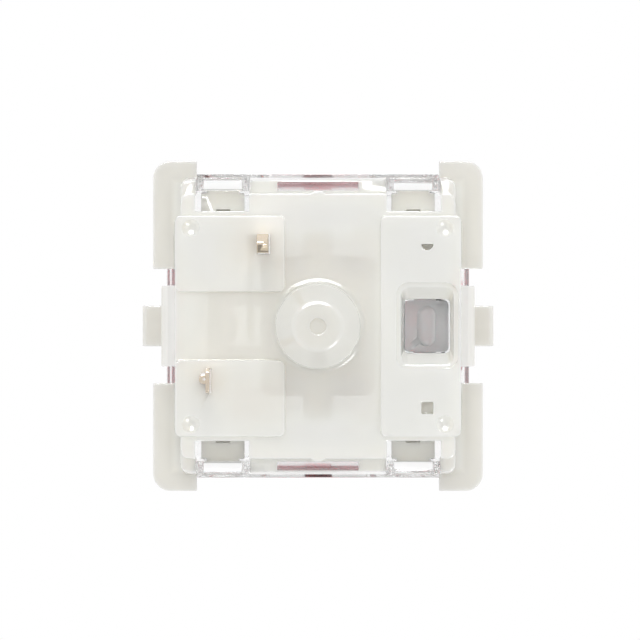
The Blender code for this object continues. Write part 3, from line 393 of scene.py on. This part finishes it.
def bump(tree, value, height):
    """The normals of bumps as high as the value times the height."""
    node = tree.nodes.new("ShaderNodeBump")
    set_up(tree, node, {"Height": value, "Strength": 1.0, "Distance": height})
    return node.outputs["Normal"]


def calculated(tree, operation, first, second):
    """What a math operation makes of two values."""
    node = tree.nodes.new("ShaderNodeMath")
    node.operation = operation
    tree.links.new(first, node.inputs[0])
    tree.links.new(second, node.inputs[1])
    return node.outputs["Value"]


def blend(tree, share, first, second, blend_type="MIX"):
    """Mixes two colours by a share."""
    node = tree.nodes.new("ShaderNodeMix")
    node.data_type = "RGBA"
    node.blend_type = blend_type
    feed(tree, node.inputs["Factor"], share)
    for name, colour in (("A", first), ("B", second)):
        feed(tree, next(s for s in node.inputs if s.name == name and s.type == "RGBA"), colour)
    return next(s for s in node.outputs if s.type == "RGBA")


def multiplied(tree, first, second):
    return blend(tree, 1.0, first, second, "MULTIPLY")


def mixed(tree, share, first, second):
    """Mixes two shaders by a share."""
    node = tree.nodes.new("ShaderNodeMixShader")
    for socket, source in zip(node.inputs, (share, first, second)):
        tree.links.new(source, socket)
    return node.outputs["Shader"]


def from_outside(tree, value):
    """The value where the surface is seen from outside the plastic, and 0 from inside it."""
    side = tree.nodes.new("ShaderNodeNewGeometry")
    outside = stretched(tree, side.outputs["Backfacing"], (0.0, 1.0), (1.0, 0.0))
    return calculated(tree, "MULTIPLY", value, outside)


def from_middle(tree):
    """Distance from the switch's axis, measured square along X or Y, whichever is more."""
    place = tree.nodes.new("ShaderNodeTexCoord")
    absolute = tree.nodes.new("ShaderNodeVectorMath")
    absolute.operation = "ABSOLUTE"
    split = tree.nodes.new("ShaderNodeSeparateXYZ")
    tree.links.new(place.outputs["Object"], absolute.inputs[0])
    tree.links.new(absolute.outputs["Vector"], split.inputs["Vector"])
    return calculated(tree, "MAXIMUM", split.outputs["X"], split.outputs["Y"])


def thickness(tree, reach):
    """How much of the plastic's depth up to the reach lies behind the surface, from 0 to 1."""
    probe = tree.nodes.new("ShaderNodeAmbientOcclusion")
    probe.inside = True
    probe.only_local = True
    probe.samples = DEPTH_SAMPLES
    probe.inputs["Distance"].default_value = reach
    return probe.outputs["AO"]


def milky_colour_and_painted_light(tree, depth):
    """Warm and darker where thin by painted shade, with clouds, a flange greyer by painted shade
    and edges paler by a painted highlight.
    """
    # Thin places get a darker colour: painted shade
    body = ramp(tree, depth, MILKY_DEPTH_SPAN, MILKY_THIN_SHADE_AND_COLOUR)
    body = multiplied(tree, body, ramp(tree, noise(tree, 0.35), NOISE_SPAN, VEIL_SHADES))
    # The flange is made greyer: painted shade
    flange = stretched(tree, from_middle(tree), FLANGE_SPAN, (0.0, 1.0))
    body = blend(tree, flange, body, multiplied(tree, body, FLANGE_PAINTED_SHADE))
    # The edges are made paler: a painted highlight
    edge = stretched(tree, thickness(tree, EDGE_DEPTH), EDGE_DEPTH_SPAN, EDGE_HIGHLIGHT_STRENGTH)
    return blend(tree, edge, body, EDGE_PAINTED_HIGHLIGHT)


def milky_plastic():
    """The lower shell's off-white polycarbonate, which lets the inside show where it is thin."""
    material, tree, shader = new_material("milky_plastic")
    depth = thickness(tree, MILKY_DEPTH)
    cover = stretched(tree, depth, MILKY_DEPTH_SPAN, MILKY_COVER)
    values = {
        # The base colour holds painted shade where thin and on the flange, and a painted highlight
        # on the edges
        "Base Color": milky_colour_and_painted_light(tree, depth),
        "Alpha": from_outside(tree, cover),
        "Roughness": stretched(tree, noise(tree, 2.5), NOISE_SPAN, (0.07, 0.11)),
        "IOR": 1.5,
        "Coat Weight": 1.0,
        "Coat Roughness": 0.05,
        "Subsurface Weight": 1.0,
        "Subsurface Radius": (1.0, 1.0, 1.0),
        "Subsurface Scale": 0.5 * MM,
    }
    set_up(tree, shader, values)
    return material


def clear_plastic():
    """The upper shell's water-clear polycarbonate."""
    material, tree, shader = new_material("clear_plastic")
    flow = noise(tree, 0.8, FLOW_LINES)
    values = {
        "Base Color": ramp(tree, flow, NOISE_SPAN, CLEAR_SHADES),
        "Roughness": stretched(tree, flow, NOISE_SPAN, (0.02, 0.06)),
        "IOR": 1.56,
        "Transmission Weight": 1.0,
    }
    set_up(tree, shader, values)
    return material


def pink_plastic():
    """The stem's slippery pastel pink polyacetal."""
    material, tree, shader = new_material("pink_plastic")
    grain = noise(tree, 12.0, detail=4.0)
    values = {
        "Base Color": ramp(tree, noise(tree, 0.5), NOISE_SPAN, PINK_SHADES),
        "Roughness": stretched(tree, grain, NOISE_SPAN, (0.3, 0.42)),
        "IOR": 1.48,
        "Subsurface Weight": 1.0,
        "Subsurface Radius": (1.0, 0.7, 0.7),
        "Subsurface Scale": 1.2 * MM,
        "Normal": bump(tree, grain, PLASTIC_GRAIN),
    }
    set_up(tree, shader, values)
    return material


def lens_plastic():
    """The light guide's clear plastic with a grey-mauve tint."""
    material, tree, shader = new_material("lens_plastic")
    flow = noise(tree, 0.9)
    values = {
        "Base Color": ramp(tree, flow, NOISE_SPAN, LENS_SHADES),
        "Roughness": stretched(tree, flow, NOISE_SPAN, (0.3, 0.36)),
        "IOR": 1.4,
        "Transmission Weight": 0.8,
        "Normal": bump(tree, flow, PLASTIC_GRAIN),
    }
    set_up(tree, shader, values)
    return material


def stamped_metal(name, shades, roughness, stretch=EVEN):
    """Rolled and stamped sheet metal, with fine rolling lines."""
    material, tree, shader = new_material(name)
    lines = noise(tree, 14.0, stretch)
    roughest = roughness + METAL_ROUGHNESS_SPAN
    values = {
        "Base Color": ramp(tree, lines, NOISE_SPAN, shades),
        "Roughness": stretched(tree, lines, NOISE_SPAN, (roughness, roughest)),
        "Metallic": 1.0,
        "Anisotropic": 0.3,
        "Normal": bump(tree, lines, METAL_GRAIN),
    }
    set_up(tree, shader, values)
    return material


def carry_slope_down(shape):
    """Brings the upper shell's slope down to its rim, and keeps its skirt upright inside."""
    reach = [max(v.co[axis] for v in shape.verts) for axis in (0, 1)]
    shoulder = max(v.co.z for v in shape.verts if reach[0] - abs(v.co.x) < TOLERANCE)
    nearest, farthest = (share * LEDGE for share in LEDGE_BAND)
    for vert in shape.verts:
        place = (abs(vert.co.x), abs(vert.co.y))
        past = [max(place[axis] - reach[axis] + SHELL_CORNER, 0.0) for axis in (0, 1)]
        inset = SHELL_CORNER - math.hypot(*past)
        below = shoulder - vert.co.z
        if abs(below) < TOLERANCE and nearest < inset < farthest:
            for axis in (0, 1):
                if place[axis] > reach[axis] - LEDGE - SHELL_CORNER - TOLERANCE:
                    vert.co[axis] += math.copysign(LEDGE - LEDGE_LEFT, vert.co[axis])
        elif -TOLERANCE < below < LEDGE + TOLERANCE and inset > SHELL_CORNER - TOLERANCE:
            if min(reach[axis] - place[axis] for axis in (0, 1)) < INNER_BAND:
                vert.co.z += UPRIGHT_RISE


def make_housings():
    lower = write_object(round_edges(read_mesh("bottom_housing"), SHELL_EDGE), "lower_shell")
    dress(lower, "housing", milky_plastic(), "bottom_housing")
    clear = read_mesh("top_housing")
    carry_slope_down(clear)
    upper = write_object(round_edges(clear, CLEAR_SHELL_EDGE), "upper_shell")
    dress(upper, "housing", clear_plastic(), "top_housing")


def make_stem():
    stem = write_object(round_edges(read_mesh("stem"), STEM_EDGE), "slider")
    dress(stem, "stem", pink_plastic(), "stem")


def make_light_guide():
    guide = write_object(read_mesh("light_guide"), "lens")
    dress(guide, "housing", lens_plastic(), "light_guide")


def make_contacts():
    metals = {
        "contact_alloy": stamped_metal("contact_alloy", BRASS_SHADES, 0.07, ROLLING_LINES),
        "crosspoint_gold": stamped_metal("crosspoint_gold", GOLD_SHADES, 0.15),
    }
    for node, width, slot in CONTACTS:
        piece = write_object(round_edges(read_mesh(node), width), node + "_fine")
        dress(piece, "housing", metals[slot], node)


def coil_height(turn, turns, rise):
    """Height of the wire's middle after some turns: closed coils at both ends, even between."""
    end_rise = SPRING_END_TURNS * SPRING_END_PITCH
    if turn < SPRING_END_TURNS:
        return turn * SPRING_END_PITCH
    if turn > turns - SPRING_END_TURNS:
        return rise - (turns - turn) * SPRING_END_PITCH
    share = (turn - SPRING_END_TURNS) / SPRING_FREE_TURNS
    return end_rise + share * (rise - 2 * end_rise)


def coiled_wire(low, high):
    """The spring's round wire, swept round its helix, a little thinner where it is cut off."""
    radius = SPRING_WIRE / 2
    mean_radius = high.x - radius
    turns = SPRING_FREE_TURNS + 2 * SPRING_END_TURNS
    steps = round(turns * COIL_STEPS)
    shape = bmesh.new()
    rings = []
    for i in range(steps + 1):
        turn = i / COIL_STEPS
        angle = 2 * math.pi * turn
        outward = Vector((math.cos(angle), math.sin(angle), 0.0))
        height = low.z + radius + coil_height(turn, turns, high.z - low.z - SPRING_WIRE)
        centre = mean_radius * outward + Vector((0.0, 0.0, height))
        thick = radius * (WIRE_END_SCALE if i in (0, steps) else 1.0)
        rings.append([])
        for k in range(WIRE_STEPS):
            around = 2 * math.pi * k / WIRE_STEPS
            side = outward * math.cos(around) + Vector((0.0, 0.0, math.sin(around)))
            rings[-1].append(shape.verts.new(centre + thick * side))
    for ring, following in zip(rings, rings[1:]):
        for k in range(WIRE_STEPS):
            n = (k + 1) % WIRE_STEPS
            shape.faces.new((ring[k], ring[n], following[n], following[k]))
    shape.faces.new(rings[0][::-1])
    shape.faces.new(rings[-1])
    bmesh.ops.recalc_face_normals(shape, faces=shape.faces)
    return shape


def make_spring():
    low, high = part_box("return_spring")
    spring = write_object(coiled_wire(low, high), "coil_spring")
    steel = stamped_metal("spring_steel", STEEL_SHADES, 0.2)
    dress(spring, "housing", steel, "return_spring")
    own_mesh(spring)


def make_camera():
    data = bpy.data.cameras.new("camera")
    data.lens = FOCAL_LENGTH_MM
    data.sensor_width = SENSOR_MM
    data.clip_start, data.clip_end = CAMERA_CLIP
    camera = bpy.data.objects.new("camera", data)
    back = CAMERA_RIGHT.cross(CAMERA_UP)
    turn = Matrix((CAMERA_RIGHT, CAMERA_UP, back)).transposed()
    camera.matrix_world = Matrix.Translation(CAMERA_PLACE) @ turn.to_4x4()
    bpy.context.collection.objects.link(camera)
    bpy.context.scene.camera = camera


def make_lamp(name, place, diameter, power, lights_surfaces):
    """A round lamp that faces the switch."""
    data = bpy.data.lights.new(name, "AREA")
    data.shape = "DISK"
    data.size = diameter
    data.energy = power
    lamp = bpy.data.objects.new(name, data)
    lamp.location = place
    lamp.rotation_mode = "QUATERNION"
    lamp.rotation_quaternion = (-Vector(place)).to_track_quat("-Z", "Y")
    lamp.visible_camera = False
    lamp.visible_transmission = False
    lamp.visible_diffuse = lights_surfaces
    bpy.context.collection.objects.link(lamp)


def background(tree, colour):
    """Light of one colour, or of a colour for each direction."""
    node = tree.nodes.new("ShaderNodeBackground")
    feed(tree, node.inputs["Color"], colour)
    return node.outputs["Background"]


def make_world():
    """White behind everything, with grey bands and a card that draw the edges of clear plastic."""
    world = bpy.data.worlds.new("studio")
    bpy.context.scene.world = world
    world.use_nodes = True
    tree = world.node_tree
    tree.nodes.clear()
    place = tree.nodes.new("ShaderNodeTexCoord")
    split = tree.nodes.new("ShaderNodeSeparateXYZ")
    tree.links.new(place.outputs["Generated"], split.inputs["Vector"])
    height = stretched(tree, split.outputs["Z"], (-1.0, 1.0), (0.0, 1.0))
    bands = grey_ramp(tree, height, REFLECTED_LEVELS)
    card = grey_ramp(tree, split.outputs["X"], CARD_LEVELS)
    reflected = background(tree, multiplied(tree, bands, card))
    path = tree.nodes.new("ShaderNodeLightPath").outputs
    seen = calculated(tree, "MAXIMUM", path["Is Glossy Ray"], path["Is Transmission Ray"])
    lit = mixed(tree, seen, background(tree, AMBIENT_GREY), reflected)
    shown = mixed(tree, path["Is Camera Ray"], lit, background(tree, WHITE))
    output = tree.nodes.new("ShaderNodeOutputWorld")
    tree.links.new(shown, output.inputs["Surface"])


def make_floor():
    """A pale floor far below the camera, white where it is seen."""
    shape = bmesh.new()
    bmesh.ops.create_grid(shape, x_segments=FLOOR_CELLS, y_segments=FLOOR_CELLS, size=FLOOR_HALF)
    bmesh.ops.translate(shape, verts=shape.verts, vec=(0.0, 0.0, -FLOOR_DEPTH))
    floor = write_object(shape, "floor")
    material, tree, shader = new_material("floor")
    set_up(tree, shader, {"Base Color": FLOOR_GREY, "Roughness": 0.9})
    glow = tree.nodes.new("ShaderNodeEmission")
    set_up(tree, glow, {"Color": WHITE})
    path = tree.nodes.new("ShaderNodeLightPath").outputs
    shown = mixed(tree, path["Is Camera Ray"], shader.outputs["BSDF"], glow.outputs["Emission"])
    tree.links.new(shown, tree.nodes["Material Output"].inputs["Surface"])
    floor.data.materials.append(material)


def make_studio():
    make_world()
    make_floor()
    for lamp in LAMPS:
        make_lamp(*lamp)


def set_render():
    scene = bpy.context.scene
    scene.view_settings.view_transform = "Standard"
    scene.cycles.max_bounces = LIGHT_BOUNCES
    scene.cycles.transmission_bounces = LIGHT_BOUNCES
    scene.cycles.glossy_bounces = LIGHT_BOUNCES
    scene.cycles.transparent_max_bounces = TRANSPARENT_BOUNCES


make_housings()
make_stem()
make_contacts()
make_spring()
make_light_guide()
make_camera()
make_studio()
set_render()
